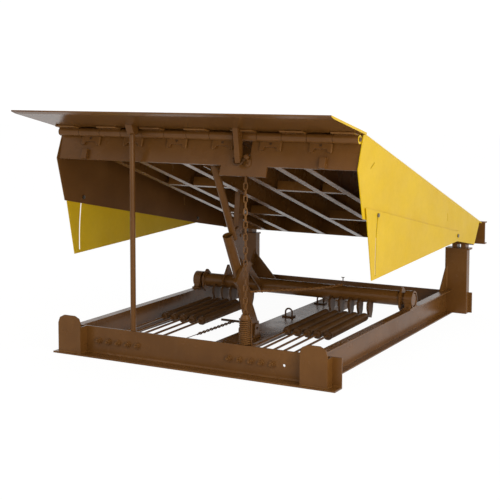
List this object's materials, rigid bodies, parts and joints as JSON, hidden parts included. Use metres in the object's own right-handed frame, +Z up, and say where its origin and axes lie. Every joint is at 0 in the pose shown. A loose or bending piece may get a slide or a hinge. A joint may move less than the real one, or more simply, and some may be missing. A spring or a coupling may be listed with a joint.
{
  "type": "mechanical dock leveler",
  "caption": "Mechanical dock leveler with a sloped deck held up on a service strut, its lip out, toe guards at the sides, and counterbalance springs on an open floor frame.",
  "frame": {"origin": "on the floor under the middle of the front angle's flange, on the frame's centre line", "axes": "+X to the right seen from the lip side, +Y from the lip to the rear hinge, +Z up"},
  "size_m": [2.142, 2.8677, 1.552],
  "materials": {
    "frame_paint": "satin brown paint",
    "deck_paint": "satin brown paint",
    "lip_paint": "satin brown paint",
    "dark_paint": "dark brown paint",
    "side_paint": "satin yellow paint outside",
    "guard_paint": "satin yellow paint",
    "bolt_steel": "plated"
  },
  "bodies": {
    "leveler": {"front_angle": "frame_paint", "lip_keepers": "frame_paint", "side_channels": "frame_paint", "rear_posts": "frame_paint", "post_gussets": "frame_paint", "rear_angle": "frame_paint", "rear_beam": "frame_paint", "rear_hinge_pin": "dark_paint", "centre_beam": "frame_paint", "lifting_rings": "dark_paint", "torque_tube": "frame_paint", "tube_bearings": "frame_paint", "spring_levers": "dark_paint", "springs": "dark_paint", "spring_rods": "frame_paint", "lift_plates": "frame_paint", "lift_link": "frame_paint", "lift_strap": "frame_paint", "lift_shaft": "dark_paint", "lift_foot": "frame_paint", "hold_down_tube": "frame_paint", "hold_down_sleeve": "frame_paint", "hold_down_bracket": "frame_paint", "snubber_spring": "dark_paint", "snubber_bracket": "frame_paint", "lip_chain": "dark_paint", "deck_plate": "deck_paint", "header_plate": "deck_paint", "side_plates": "side_paint", "deck_joists": "deck_paint", "deck_cross_bars": "deck_paint", "rear_plate": "deck_paint", "deck_barrels": "deck_paint", "lip_barrels": "deck_paint", "lip_hinge_pin": "dark_paint", "lip_plate": "lip_paint", "lifter_arm": "deck_paint", "strut_socket": "deck_paint", "service_strut": "frame_paint", "guard_bolts": "bolt_steel"},
    "guard_left": {"toe_guard_left": "guard_paint"},
    "guard_right": {"toe_guard_right": "guard_paint"}
  },
  "joints": [
    {"name": "guard_left_hinge", "type": "hinge", "parent": "leveler", "child": "guard_left", "pos_m": [-1.058, 1.89, 0.656], "axis": [-1, 0, 0], "range_deg": [0, 13]},
    {"name": "guard_right_hinge", "type": "hinge", "parent": "leveler", "child": "guard_right", "pos_m": [1.058, 1.89, 0.656], "axis": [-1, 0, 0], "range_deg": [0, 13]}
  ]
}
